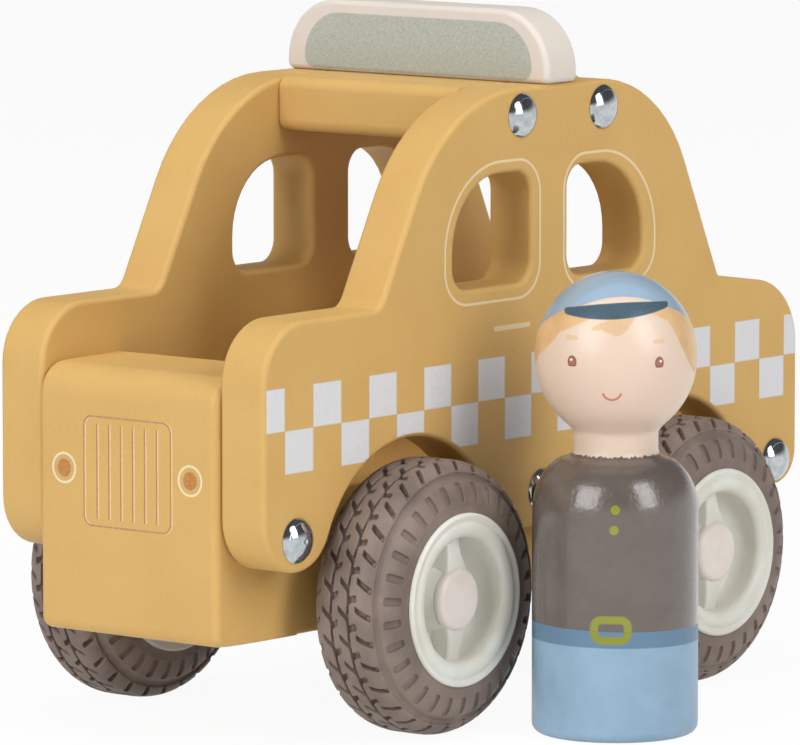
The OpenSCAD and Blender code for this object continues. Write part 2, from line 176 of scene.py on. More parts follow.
bpy.ops.mesh.primitive_plane_add(size=FLOOR_SIZE, location=(0, 0, -FLOOR_DROP))
floor = bpy.context.object
floor.name = "studio_floor"
floor.data.materials.append(card)

room = bpy.data.worlds.new("studio_room")
bpy.context.scene.world = room
room.use_nodes = True
tree = room.node_tree
up = wire(tree, "SeparateXYZ", {0: wire(tree, "TexCoord")["Generated"]})["Z"]
walls = tint(ramp(up, 0.0, CEILING_START), ROOM_WHITE, CEILING_GREY)
room_light = wire(tree, "Background", {"Color": ROOM_WHITE, "Strength": ROOM_LIGHT})
room_seen = wire(tree, "Background", {"Color": walls, "Strength": 1.0})
room_mix = wire(tree, "MixShader", {0: background_rays(tree), 1: room_light, 2: room_seen})
plug(tree.nodes["World Output"].inputs, {"Surface": room_mix})

to_right = Vector((-ahead.y, ahead.x, 0))
for name, (front, right, rise), width, height, watts, mirrored in SOFT_BOXES:
    place = VIEW_TARGET + ahead * front + to_right * right + Vector((0, 0, rise))
    bpy.ops.object.light_add(type="AREA", location=place)
    lamp = bpy.context.object
    lamp.name = name
    lamp.rotation_euler = (place - VIEW_TARGET).to_track_quat("Z", "Y").to_euler()
    lamp.data.shape = "RECTANGLE"
    lamp.data.size = width
    lamp.data.size_y = height
    lamp.data.energy = watts
    lamp.visible_glossy = mirrored

# Chassis: one block of wood between the panels, which carries both axles and is the cab's floor.
# It is sawn and sanded, then painted the same ochre as the body, like the other wooden pieces.
CHASSIS_EDGE_R = 0.8 * MM
MERGE = 0.002 * MM
FLAT_ANGLE = math.radians(0.5)
SHARP_ANGLE = math.radians(40)
HOLE_REACH = 3.0 * MM
EDGE_SEGMENTS = 4
PAINT_ROUGHNESS = 0.52
PAINT_ROUGHNESS_SPREAD = 0.16
PAINT_SHINE = 0.3
PAINT_DRIFT = 0.5
PAINT_RELIEF = 0.06 * MM
BROAD_SCALE = 0.06
FINE_SCALE = 1.1
TOOTH_SCALE = 3.2
FINE_TONE_SHARE = 0.35
TONE_SPAN = (0.3, 0.75)
DENT_SCALE = 0.085
DENT_KEPT_SPAN = (0.6, 0.65)
DENT_SPAN = (0.03, 0.075)
DENT_TINT = 0.45
# Heights of the paint's fine drift, its tooth and its dents, as shares of the relief
FINE_SHARE = 0.25
TOOTH_SHARE = 0.10
DENT_SHARE = 0.8


def srgb(red, green, blue):
    """A paint's colour from its screen values, 0 to 255, as linear red, green, blue and alpha."""
    shares = [value / 255 for value in (red, green, blue)]
    return (*(((s + 0.055) / 1.055) ** 2.4 if s > 0.04045 else s / 12.92 for s in shares), 1)


# Two tones to drift between, as in the paints and plastics; the driver's cap pairs its blue with a painted
# highlight
OCHRE = (srgb(209, 170, 103), srgb(197, 154, 86))


def edit(piece):
    """Leaves only this piece selected, and opens it in edit mode with all of it chosen."""
    bpy.ops.object.select_all(action="DESELECT")
    piece.select_set(True)
    bpy.context.view_layer.objects.active = piece
    bpy.ops.object.mode_set(mode="EDIT")
    bpy.ops.mesh.select_all(action="SELECT")


def choose(piece, kind, test):
    """In edit mode, selects only the edges or faces that pass a test."""
    bpy.ops.mesh.select_mode(type=kind)
    bpy.ops.mesh.select_all(action="DESELECT")
    mesh = bmesh.from_edit_mesh(piece.data)
    for part in mesh.faces if kind == "FACE" else mesh.edges:
        part.select_set(test(part))
    mesh.select_flush_mode()
    bmesh.update_edit_mesh(piece.data)


def smooth(piece, flat_faces=False):
    """Back in object mode, shades the piece smooth; its large faces may be kept flat."""
    bpy.ops.object.mode_set(mode="OBJECT")
    bpy.ops.object.shade_smooth_by_angle(angle=SHARP_ANGLE)
    if flat_faces:
        piece.modifiers.new("flat_faces", "WEIGHTED_NORMAL").keep_sharp = True
        bpy.ops.object.modifier_apply(modifier="flat_faces")


def copy_mesh(name, mesh):
    """A new object with its own copy of a mesh."""
    piece = bpy.data.objects.new(name, mesh.copy())
    bpy.context.scene.collection.objects.link(piece)
    return piece


def solid_middles(node):
    """The middle of each separate solid in a CAD node."""
    mesh = bmesh.new()
    mesh.from_mesh(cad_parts[node].data)
    bmesh.ops.remove_doubles(mesh, verts=mesh.verts, dist=MERGE)
    left = set(mesh.verts)
    middles = []
    while left:
        reached = [left.pop()]
        for vert in reached:
            near = {edge.other_vert(vert) for edge in vert.link_edges} & left
            left -= near
            reached.extend(near)
        corners = [[pick(v.co[axis] for v in reached) for axis in range(3)] for pick in (min, max)]
        middles.append((Vector(corners[0]) + Vector(corners[1])) / 2)
    mesh.free()
    return middles


screw_middles = solid_middles("left_screw_caps")


def at_screw(point):
    """Whether a point of a wooden piece is on a screw hole, which keeps its sharp edge."""
    return any(math.hypot(point.x - m.x, point.z - m.z) < HOLE_REACH for m in screw_middles)


def sanded(node, name, edge_r, butted=False):
    """A copy of a wooden CAD piece, its edges rounded over by sanding except at butted ends."""
    ends = [corner.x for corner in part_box(node)] if butted else []
    piece = copy_mesh(name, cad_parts[node].data)
    edit(piece)
    bpy.ops.mesh.customdata_custom_splitnormals_clear()
    bpy.ops.mesh.remove_doubles(threshold=MERGE)
    bpy.ops.mesh.dissolve_limited(angle_limit=FLAT_ANGLE)

    def sharp_edge(edge):
        at_end = any(all(abs(vert.co.x - end) < MERGE for vert in edge.verts) for end in ends)
        return edge.calc_face_angle(0) > SHARP_ANGLE and not at_end and not at_screw(edge.verts[0].co)

    choose(piece, "EDGE", sharp_edge)
    bpy.ops.mesh.bevel(offset=edge_r, segments=EDGE_SEGMENTS, affect="EDGES", clamp_overlap=False)
    smooth(piece, flat_faces=True)
    return piece


def new_group(name, inputs, outputs):
    """A shader node group with named sockets; returns it, what it is given and what it puts out."""
    group = bpy.data.node_groups.new(name, "ShaderNodeTree")
    for way, sockets in (("INPUT", inputs), ("OUTPUT", outputs)):
        for label, kind in sockets.items():
            group.interface.new_socket(label, in_out=way, socket_type="NodeSocket" + kind)
    given = Value(group.nodes.new("NodeGroupInput").outputs[0])
    return group, given, group.nodes.new("NodeGroupOutput").inputs


def make_paint_skin():
    """Brushed satin paint on wood: broad and fine drifts of tone, a few small dents, a soft tooth."""
    group, given, result = new_group(
        "paint_skin",
        {"Place": "Vector", "Colour": "Color", "Deep Colour": "Color", "Drift": "Float"},
        {"Colour": "Color", "Roughness": "Float", "Height": "Float"},
    )
    broad = noise(given["Place"], BROAD_SCALE, detail=3.0)
    fine = noise(given["Place"], FINE_SCALE, detail=3.0, roughness=0.6)
    tooth = noise(given["Place"], TOOTH_SCALE)
    tone = fine * FINE_TONE_SHARE + broad * (1 - FINE_TONE_SHARE)
    drift = ramp(tone, *TONE_SPAN) * given["Drift"]
    cells = wire(group, "TexVoronoi", {"Vector": given["Place"], "Scale": DENT_SCALE})
    draw = wire(group, "SeparateColor", {0: cells["Color"]})
    dent = ramp(cells["Distance"], *DENT_SPAN, 1.0, 0.0) * ramp(draw, *DENT_KEPT_SPAN)
    colour = tint(drift, given["Colour"], given["Deep Colour"])
    plug(result, {
        "Colour": tint(dent * DENT_TINT, colour, given["Deep Colour"]),
        "Roughness": (fine - 0.5) * PAINT_ROUGHNESS_SPREAD + PAINT_ROUGHNESS,
        "Height": fine * FINE_SHARE + tooth * TOOTH_SHARE - dent * DENT_SHARE,
    })
    return group


paint_skin = make_paint_skin()


def place_mm(tree, middle=(0, 0, 0), turn=0.0):
    """Object coordinates in millimetres about a middle, turned about the upright axis."""
    coords = wire(tree, "TexCoord")["Object"]
    settings = {"Vector": coords, "Location": middle, "Rotation": (0, 0, turn), "Scale": (MM, MM, MM)}
    return wire(tree, "Mapping", settings, vector_type="TEXTURE")


def relief(height, depth):
    """The normals of a surface that rises this far, in metres, as a height goes from 0 to 1."""
    return wire(height.tree, "Bump", {"Height": height, "Distance": depth})


def painted(name, tones, drift=PAINT_DRIFT):
    """A painted wood material; returns it, its shader, its bare colour and its place."""
    material, tree, shader = new_material(name)
    place = place_mm(tree)
    settings = {"Place": place, "Colour": tones[0], "Deep Colour": tones[1], "Drift": drift}
    skin = wire(tree, "Group", settings, node_tree=paint_skin)
    plug(shader.inputs, {
        "Base Color": skin["Colour"],
        "Roughness": skin["Roughness"],
        "Specular IOR Level": PAINT_SHINE,
        "Normal": relief(skin["Height"], PAINT_RELIEF),
    })
    return material, shader, skin["Colour"], place


def dress(piece, material, body, slot, *nodes):
    """Gives a finished piece its material, parents it to its body and hides the CAD nodes it stands for;
    the slot is not used.
    """
    piece.data.materials.clear()
    piece.data.materials.append(material)
    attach(piece, body)
    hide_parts(*nodes)


ochre_paint = painted("ochre_paint", OCHRE)[0]
chassis = sanded("chassis_block", "chassis_painted", CHASSIS_EDGE_R, butted=True)
dress(chassis, ochre_paint, "car", "ochre_paint", "chassis_block")

# Nose and tail blocks: blocks of wood across both ends, screwed through the side panels. The nose
# carries a pad print of a grille of thin brown lines between two ringed headlamps.
BLOCK_TOP_R = 6.0 * MM
BLOCK_FOOT_R = 2.5 * MM
BLOCK_SIDE_R = 1.6 * MM
BLOCK_SEGMENTS = 8
GRILLE_MIDDLE = (0.1, 52.3)
GRILLE_HALF = (11.0, 10.65)
GRILLE_CORNER_R = 2.0
GRILLE_LINE = 0.17
GRILLE_BARS = 6
GRILLE_BAR_STEP = 3.03
GRILLE_BAR_HALF_H = 9.2
LAMP_Y = 16.0
LAMP_Z = 52.35
LAMP_DOT_R = 1.75
LAMP_RING_R = 2.85
LAMP_RING_HALF = 0.25
LAMP_RING_COVER = 0.85
LAMP_BACK_COVER = 0.45
LAMP_DOT_RAGGED = 0.5
LAMP_DOT_SOFT = 0.12
PRINT_SOFT = 0.07
PRINT_DEPTH = 0.3
NOSE_SPECKLE_SCALE = 2.6
GRILLE_SPECKLE_SPAN = (0.30, 0.62)
LAMP_SPECKLE_SPAN = (0.35, 0.65)
LAMP_DOT_LEAST_COVER = 0.6
GRILLE_BROWN = srgb(164, 112, 74)
GRILLE_HIGHLIGHT_PINK = srgb(238, 206, 178)
LAMP_ORANGE = srgb(180, 114, 52)
LAMP_CREAM = srgb(232, 217, 180)
LAMP_GREY = srgb(196, 164, 112)
# Painted pink highlight beside each grille line, then the brown ink: shift to the left, colour, least and
# most cover
GRILLE_INKS_AND_HIGHLIGHT = [(0.33, GRILLE_HIGHLIGHT_PINK, 0.25, 0.8), (0.0, GRILLE_BROWN, 0.45, 0.95)]


def end_block(node, name, way):
    """An end block from a cube: a large upper outer edge, and smaller ones round its outer face."""
    low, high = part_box(node)
    face_x = high.x if way > 0 else low.x
    bpy.ops.object.select_all(action="DESELECT")
    bpy.ops.mesh.primitive_cube_add(size=1, location=(0, 0, 0))
    block = bpy.context.object
    block.name = name
    edit(block)
    bpy.ops.transform.resize(value=high - low)
    bpy.ops.transform.translate(value=(low + high) / 2)

    def across(height):
        return lambda edge: all(
            abs(vert.co.x - face_x) < MERGE and abs(vert.co.z - height) < MERGE for vert in edge.verts
        )

    def beside(edge):
        side_y = math.copysign(high.y, edge.verts[0].co.y)
        return all(
            abs(vert.co.y - side_y) < MERGE and abs(vert.co.x - face_x) < BLOCK_TOP_R + MERGE
            for vert in edge.verts
        )

    for test, radius in (
        (across(high.z), BLOCK_TOP_R), (across(low.z), BLOCK_FOOT_R), (beside, BLOCK_SIDE_R),
    ):
        choose(block, "EDGE", test)
        bpy.ops.mesh.bevel(offset=radius, segments=BLOCK_SEGMENTS, affect="EDGES", clamp_overlap=False)
    smooth(block, flat_faces=True)
    return block


def length(across, up):
    """The length of the slant over two distances."""
    return (across * across + up * up).calc("SQRT")


def make_rounded_box():
    """The node group behind box_distance."""
    group, given, result = new_group(
        "rounded_box",
        {"X": "Float", "Y": "Float", "Half W": "Float", "Half H": "Float", "Corner": "Float"},
        {"Distance": "Float"},
    )
    past_x = abs(given["X"]) - (given["Half W"] - given["Corner"])
    past_y = abs(given["Y"]) - (given["Half H"] - given["Corner"])
    outside = length(past_x.calc("MAXIMUM", 0.0), past_y.calc("MAXIMUM", 0.0))
    inside = past_x.calc("MAXIMUM", past_y).calc("MINIMUM", 0.0)
    plug(result, {"Distance": outside + inside - given["Corner"]})
    return group


rounded_box = make_rounded_box()


def box_distance(x, y, middle, half, corner):
    """The distance from a rounded rectangle's edge, below 0 inside."""
    inputs = (x - middle[0], y - middle[1], *half, corner)
    return wire(x.tree, "Group", dict(enumerate(inputs)), node_tree=rounded_box)


def within(distance, soft=PRINT_SOFT):
    """1 where a distance is below 0, with a soft edge."""
    return ramp(distance, -soft, soft, 1.0, 0.0)


def line_mask(distance, half_width):
    """1 on a line of some half width along the places where a distance is 0."""
    return within(abs(distance) - half_width)


def either(mask, *others):
    """1 where any mask is 1."""
    for other in others:
        mask = mask.calc("MAXIMUM", other)
    return mask


def xyz(place):
    """The three coordinates of a place."""
    axes = wire(place.tree, "SeparateXYZ", {0: place})
    return [axes[name] for name in "XYZ"]


def grille_lines(y, z):
    """1 on the lines of the grille print: a rounded frame round upright bars."""
    frame_edge = box_distance(y, z, GRILLE_MIDDLE, GRILLE_HALF, GRILLE_CORNER_R)
    bar_phase = (y / GRILLE_BAR_STEP + GRILLE_BARS / 2).calc("FRACT")
    bar_line = line_mask((bar_phase - 0.5) * GRILLE_BAR_STEP, GRILLE_LINE)
    bar_area = (GRILLE_BARS * GRILLE_BAR_STEP / 2, GRILLE_BAR_HALF_H)
    bars = bar_line * within(box_distance(y, z, GRILLE_MIDDLE, bar_area, 0.0))
    return either(line_mask(frame_edge, GRILLE_LINE), bars)


nose_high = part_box("nose_block")[1]
nose_paint, shader, colour, place = painted("nose_paint", OCHRE)
x, y, z = xyz(place)
front_face = x > nose_high.x / MM - PRINT_DEPTH
speckle = noise(place, NOSE_SPECKLE_SCALE, detail=3.0, roughness=0.7)
# The brown lines of the print, each with a pale pink painted highlight laid beside it
for shift, ink, least, most in GRILLE_INKS_AND_HIGHLIGHT:
    cover = ramp(speckle, *GRILLE_SPECKLE_SPAN, least, most)
    colour = tint(front_face * grille_lines(y - shift, z) * cover, colour, ink)
lamp_off = length(abs(y) - LAMP_Y, z - LAMP_Z)
ring_off = lamp_off - LAMP_RING_R
dot_off = lamp_off - ((speckle - 0.5) * LAMP_DOT_RAGGED + LAMP_DOT_R)
dot_cover = ramp(speckle, *LAMP_SPECKLE_SPAN, LAMP_DOT_LEAST_COVER)
for mask, ink in (
    (within(ring_off) * LAMP_BACK_COVER, LAMP_GREY),
    (within(dot_off, LAMP_DOT_SOFT) * dot_cover, LAMP_ORANGE),
    (line_mask(ring_off, LAMP_RING_HALF) * LAMP_RING_COVER, LAMP_CREAM),
):
    colour = tint(front_face * mask, colour, ink)
plug(shader.inputs, {"Base Color": colour})

for end, way, paint in (("nose", 1, nose_paint), ("tail", -1, ochre_paint)):
    block = end_block(f"{end}_block", f"{end}_painted", way)
    dress(block, paint, "car", "ochre_paint", f"{end}_block")

# Side panels: two boards sawn to the car's outline with two windows each, rounded over and painted.
# Their outer faces are printed with a checker stripe, thin window frames and a door handle.
PANEL_EDGE_R = 1.1 * MM
CHECK_W = 8.469
CHECK_H = 8.34
CHECK_FRONT_X = 79.756
CHECK_MID_Z = 62.58
# Thin edge of each square: where it starts and is full, in from the square's side
CHECK_RIM = (0.28, 0.08)
CHECK_RIM_COVER = 0.5
CHECK_SPECKLE_SCALE = 2.4
CHECK_SPECKLE_SPAN = (0.36, 0.60)
CHECK_COVER = (0.82, 0.97)
PRINT_SKIN = 0.05
FRAME_LINE = 0.27
FRAME_COVER = 0.8
# Window frames: middle, half sizes, way that the large upper corner faces
FRAMES = [
    ((15.85, 95.7), (15.05, 13.7), 1),
    ((-21.85, 95.75), (14.95, 13.45), -1),
]
FRAME_CORNER_R = 7.0
FRAME_LARGE_R = 17.5
HANDLE_MIDDLE = (9.75, 76.5)
HANDLE_HALF = (5.75, 0.5)
HANDLE_CORNER_R = 0.4
CHECK_WHITE = srgb(216, 219, 225)
CHECK_SHADOW = srgb(194, 190, 184)
FRAME_CREAM = srgb(231, 212, 176)


def make_checker():
    """A stripe of two rows of alternate squares, and thin lines along their edges."""
    group, given, result = new_group(
        "checker_stripe", {"X": "Float", "Z": "Float"}, {"Mask": "Float", "Edge": "Float"}
    )
    column = (CHECK_FRONT_X - given["X"]) / CHECK_W
    row = (given["Z"] - CHECK_MID_Z) / CHECK_H
    steps = column.calc("FLOOR") + row.calc("FLOOR")
    white = steps.calc("FLOORED_MODULO", 2.0).calc("COMPARE", 1.0, 0.5)
    mask = white * (abs(row) < 1.0)
    rims = []
    for way, size in ((column, CHECK_W), (row, CHECK_H)):
        start, full = (size / 2 - inwards for inwards in CHECK_RIM)
        rims.append(ramp(abs(way.calc("FRACT") - 0.5) * size, start, full))
    plug(result, {"Mask": mask, "Edge": mask * either(*rims)})
    return group


def frame_distance(x, z, middle, half, way):
    """The distance from a window frame's line: a rounded box with one larger upper corner."""
    plain = box_distance(x, z, middle, half, FRAME_CORNER_R)
    large_middle = (middle[0] - way * FRAME_LARGE_R, middle[1] - FRAME_LARGE_R)
    large_half = (half[0] + FRAME_LARGE_R, half[1] + FRAME_LARGE_R)
    return plain.calc("MAXIMUM", box_distance(x, z, large_middle, large_half, FRAME_LARGE_R))


panel_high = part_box("left_side_panel")[1]
panel_paint, shader, colour, place = painted("panel_paint", OCHRE)
x, y, z = xyz(place)
outer_face = abs(y) > panel_high.y / MM - PRINT_SKIN
checker = wire(place.tree, "Group", {"X": x, "Z": z}, node_tree=make_checker())
speckle = noise(place, CHECK_SPECKLE_SCALE, detail=3.0, roughness=0.7)
worn = ramp(speckle, *CHECK_SPECKLE_SPAN, *CHECK_COVER)
white = tint(checker["Edge"] * CHECK_RIM_COVER, CHECK_WHITE, CHECK_SHADOW)
colour = tint(outer_face * checker["Mask"] * worn, colour, white)
frame_lines = [line_mask(frame_distance(x, z, *one), FRAME_LINE) for one in FRAMES]
handle = within(box_distance(x, z, HANDLE_MIDDLE, HANDLE_HALF, HANDLE_CORNER_R))
colour = tint(outer_face * either(handle, *frame_lines) * FRAME_COVER, colour, FRAME_CREAM)
plug(shader.inputs, {"Base Color": colour})

for side in ("left", "right"):
    panel = sanded(f"{side}_side_panel", f"{side}_panel_painted", PANEL_EDGE_R)
    dress(panel, panel_paint, "car", "ochre_paint", f"{side}_side_panel")

# Roof plank: a board between the tops of the panels, held by two screws through each, with its
# front and back edges rounded, in the same ochre paint.
ROOF_EDGE_R = 0.5 * MM

roof = sanded("roof_plank", "roof_painted", ROOF_EDGE_R)
dress(roof, ochre_paint, "car", "ochre_paint", "roof_plank")

# Roof sign: a rounded board of wood, painted cream, that stands across the roof on two dowels. Its
# front face has a plain sage green print inside a cream margin.
SIGN_EDGE_R = 1.2 * MM
SIGN_DRIFT = 0.4
SIGN_CREAM = (srgb(217, 208, 199), srgb(212, 200, 189))
SAGE = srgb(174, 178, 169)
SAGE_PALE = srgb(190, 191, 181)
SAGE_DARK = srgb(152, 159, 149)
SAGE_MIDDLE_Y = 0.45
SAGE_LOW_Z = 124.0
SAGE_HIGH_Z = 135.4
SAGE_HALF_W = 29.05
SAGE_TOP_R = 9.0
SAGE_FOOT_R = 2.5
SAGE_SOFT = 0.18
SAGE_GRAIN_SCALE = 2.2
SAGE_PALE_SPAN = (0.50, 0.72)
SAGE_DARK_SPAN = (0.28, 0.46)

sign_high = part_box("roof_sign")[1]
sign_paint, shader, colour, place = painted("sign_paint", SIGN_CREAM, SIGN_DRIFT)
x, y, z = xyz(place)
face = x > (sign_high.x - SIGN_EDGE_R) / MM
sage_half = (SAGE_HALF_W, SAGE_HIGH_Z - SAGE_LOW_Z)
sage_top = box_distance(y, z, (SAGE_MIDDLE_Y, SAGE_LOW_Z), sage_half, SAGE_TOP_R)
sage_foot = box_distance(y, z, (SAGE_MIDDLE_Y, SAGE_HIGH_Z), sage_half, SAGE_FOOT_R)
sage_mask = face * within(sage_top.calc("MAXIMUM", sage_foot), SAGE_SOFT)
grains = noise(place, SAGE_GRAIN_SCALE, roughness=0.7)
sage = tint(ramp(grains, *SAGE_PALE_SPAN), SAGE, SAGE_PALE)
sage = tint(ramp(grains, *SAGE_DARK_SPAN, 1.0, 0.0), sage, SAGE_DARK)
plug(shader.inputs, {"Base Color": tint(sage_mask, colour, sage)})

sign = sanded("roof_sign", "sign_painted", SIGN_EDGE_R)
dress(sign, sign_paint, "car", "cream_paint", "roof_sign")

# Dowels: two plain beech pins, glued half in the roof plank and half in the sign.
# They are turned rods with straight grain, and no paint reaches them.
DOWEL_BEECH = (srgb(214, 184, 140), srgb(186, 150, 104))
DOWEL_GRAIN_SCALES = (2.0, 2.0, 0.12)
DOWEL_GRAIN_SPAN = (0.35, 0.7)
DOWEL_ROUGHNESS = 0.55
DOWEL_ROUGHNESS_SPREAD = 0.1


def coat_node(node, material):
    """Gives a CAD piece that stays as it is a better material."""
    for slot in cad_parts[node].material_slots:
        slot.material = material


def stretch(place, scales):
    """A place with its three coordinates scaled apart."""
    return wire(place.tree, "VectorMath", {0: place, 1: scales}, operation="MULTIPLY")


dowel_wood, tree, shader = new_material("dowel_wood")
grain_place = stretch(place_mm(tree), DOWEL_GRAIN_SCALES)
grain = ramp(noise(grain_place, 1.0, detail=3.0, roughness=0.6), *DOWEL_GRAIN_SPAN)
plug(shader.inputs, {
    "Base Color": tint(grain, *DOWEL_BEECH),
    "Roughness": grain * DOWEL_ROUGHNESS_SPREAD + DOWEL_ROUGHNESS,
})
coat_node("sign_dowels", dowel_wood)

# Screws: zinc-plated wood screws through each panel into the blocks, the chassis and the roof plank.
# A pressed and chromed steel cap with a small dimple snaps over every head.
ZINC = (srgb(178, 178, 174), srgb(146, 147, 146))
CHROME = (srgb(198, 203, 205), srgb(172, 178, 182))
CAP_PIT_R = 0.42
CAP_PIT_DEPTH = 0.25
CAP_HEM_R = 0.28
CAP_WALL = 0.45
CAP_STEPS = 64
DOME_POINTS = 16
WIPE_SPAN = (0.35, 0.7)
PIT_FINENESS = 3


def metal(name, tones, roughness, spread, scale, pits):
    """Plated steel with faint wipes and pits that change its tone and its shine."""
    material, tree, shader = new_material(name)
    place = place_mm(tree)
    wipes = ramp(noise(place, scale, detail=4.0, roughness=0.65), *WIPE_SPAN)
    plug(shader.inputs, {
        "Base Color": tint(wipes, *tones),
        "Roughness": wipes * spread + roughness,
        "Metallic": 1.0,
        "Normal": relief(noise(place, scale * PIT_FINENESS), pits * MM),
    })
    return material


def oval(middle, half, start, end, points):
    """Points of a stretch of an oval, as (radius, reach along the axis); angles in degrees."""
    turns = [math.radians(start + (end - start) * i / (points - 1)) for i in range(points)]
    return [(middle[0] + half[0] * math.cos(t), middle[1] + half[1] * math.sin(t)) for t in turns]


def lathe(name, profile, middle, axis, steps, side=1):
    """Turns a closed profile of (radius, reach along the axis, lean in turns), in millimetres."""
    bpy.ops.object.select_all(action="DESELECT")
    bpy.ops.mesh.primitive_circle_add(vertices=len(profile), radius=MM)
    piece = bpy.context.object
    piece.name = name
    edit(piece)
    mesh = bmesh.from_edit_mesh(piece.data)
    line = Vector((0, 1, 0)) if axis == "Y" else Vector((0, 0, 1))
    for vert, (radius, reach, *lean) in zip(mesh.verts, profile):
        turn = side * math.tau * lean[0] if lean else 0.0
        out = Vector((math.cos(turn), 0, -math.sin(turn)))
        vert.co = middle + (out * radius + line * side * reach) * MM
    bmesh.update_edit_mesh(piece.data)
    bpy.ops.mesh.spin(steps=steps, angle=math.tau, center=middle, axis=line)
    bpy.ops.mesh.select_all(action="SELECT")
    bpy.ops.mesh.remove_doubles(threshold=MERGE)
    bpy.ops.mesh.delete_loose(use_verts=True, use_edges=True, use_faces=False)
    bpy.ops.mesh.select_all(action="SELECT")
    bpy.ops.mesh.normals_make_consistent(inside=False)
    return piece


def join(name, pieces):
    """One object of several pieces."""
    bpy.ops.object.select_all(action="DESELECT")
    for piece in pieces:
        piece.select_set(True)
    bpy.context.view_layer.objects.active = pieces[0]
    bpy.ops.object.join()
    pieces[0].name = name
    return pieces[0]


zinc_plate = metal("zinc_plate", ZINC, roughness=0.32, spread=0.18, scale=0.8, pits=0.01)
bright_chrome = metal("bright_chrome", CHROME, roughness=0.07, spread=0.06, scale=0.5, pits=0.0003)
cap_low, cap_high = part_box("left_screw_caps")
cap_h = (cap_high.y - cap_low.y) / MM
cap_r = (cap_high.z - max(m.z for m in screw_middles)) / MM
dome_r = (cap_r ** 2 + (cap_h - CAP_HEM_R) ** 2) / (2 * (cap_h - CAP_HEM_R))
dome_turn = math.degrees(math.asin((cap_r - CAP_HEM_R) / dome_r))
pit_turn = math.degrees(math.asin(CAP_PIT_R / dome_r))
outside = oval((0, cap_h - dome_r), (dome_r, dome_r), 90 - dome_turn, 90 - pit_turn, DOME_POINTS)
hem = [(cap_r - CAP_HEM_R / 2, 0), (cap_r, CAP_HEM_R / 2), (cap_r - CAP_HEM_R / 3, CAP_HEM_R)]
inside = [(0, cap_h - CAP_WALL), (cap_r - 2 * CAP_WALL, cap_h / 2), (cap_r - CAP_WALL, 0)]
cap_profile = [*hem, *outside, (0, cap_h - CAP_PIT_DEPTH), *inside]

for side, way in (("left", 1), ("right", -1)):
    caps = []
    for spot in screw_middles:
        foot = Vector((spot.x, way * cap_low.y, spot.z))
        caps.append(lathe(f"{side}_cap", cap_profile, foot, "Y", CAP_STEPS, way))
        smooth(caps[-1])
    chromed = join(f"{side}_caps_chromed", caps)
    dress(chromed, bright_chrome, "car", "bright_chrome", f"{side}_screw_caps")
    coat_node(f"{side}_screws", zinc_plate)

# Axles and washers: a plated steel rod through the chassis carries a wheel pressed on each end, with
# a thin stamped washer between hub and chassis. They turn with the wheels.
for node in ("front_axle", "rear_axle", "front_washers", "rear_washers"):
    coat_node(node, zinc_plate)

# Rims: moulded in cream plastic, with a rounded double lip, a dished bowl, a web with two ribs and a
# hub that is pressed on the axle. The back is open, as such mouldings are.
WHEELS = [(end, side, way) for end in ("front", "rear") for side, way in (("left", 1), ("right", -1))]
RIM_HALF_W = 10.9
LIP_R = 17.0
BEAD_HALF_W = 9.7
BARREL_R = 15.4
LIP_FACE = 10.55
BOWL_R = 12.2
WEB_OUT = 3.6
WEB_IN = 1.6
HUB_R = 4.6
HUB_OUT = 7.6
BOSS_FOOT_R = 6.9
BOSS_R = 6.2
BOSS_OUT = 7.0
BORE_R = 2.0
RIM_WALL = 1.6
# Roundings of the rim, in from its edges; a pair is the size across and along the axle
HUB_CHAMFER = 0.3
WEB_CHAMFER = 0.8
BACK_CHAMFER = 0.4
BACK_LIP_R = 0.5
OUTER_LIP = (0.65, 0.8)
LIP_BEAD = (1.5, 1.4)
BOWL_EDGE = (2.1, 1.8)
BOWL_TAPER = 0.1
BOWL_FOOT = (3.2, 3.6)
BOSS_FILLET = 0.4
# Ribs, from the bowl's wall to the hub: distance from the axle, width and reach of the front edge
RIB_ROWS = [
    (12.6, 4.8, 7.0), (11.9, 3.9, 7.0), (10.2, 3.8, 7.3), (8.4, 4.3, 7.6), (7.0, 5.2, 7.9), (5.0, 6.4, 8.2),
]
RIB_EDGE_R = 0.6
RIB_SEGMENTS = 3
RIM_STEPS = 96
RIM_CREAM = (srgb(223, 224, 216), srgb(215, 212, 200))
MOULD_DRIFT_SCALE = 0.12
MOULD_DRIFT_SPAN = (0.3, 0.7)
MOULD_SKIN_SCALE = 4.0
MOULD_ROUGHNESS_SPREAD = 0.12


def moulded(name, tones, roughness, height):
    """Moulded plastic or rubber: a little drift of tone and a very fine spark-eroded skin."""
    material, tree, shader = new_material(name)
    place = place_mm(tree)
    drift = ramp(noise(place, MOULD_DRIFT_SCALE, detail=3.0), *MOULD_DRIFT_SPAN)
    skin = noise(place, MOULD_SKIN_SCALE, detail=3.0, roughness=0.6)
    plug(shader.inputs, {
        "Base Color": tint(drift, *tones),
        "Roughness": skin * MOULD_ROUGHNESS_SPREAD + roughness,
        "Normal": relief(skin, height * MM),
    })
    return material


def wheel_middle(end, side):
    """The point on a wheel's axis at its tyre's middle plane."""
    low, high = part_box(f"{end}_{side}_tyre")
    return (low + high) / 2


home = wheel_middle("front", "left")


def on_all_wheels(model, suffix, material, slot, kind):
    """Copies a piece modelled on the front left wheel to every wheel, and removes the model."""
    for end, side, way in WHEELS:
        piece = copy_mesh(f"{end}_{side}_{suffix}", model.data)
        edit(piece)
        if way < 0:
            bpy.ops.transform.rotate(value=math.pi, orient_axis="Z", center_override=home)
        bpy.ops.transform.translate(value=wheel_middle(end, side) - home)
        bpy.ops.object.mode_set(mode="OBJECT")
        dress(piece, material, f"{end}_wheels", slot, f"{end}_{side}_{kind}")
    bpy.data.objects.remove(model)


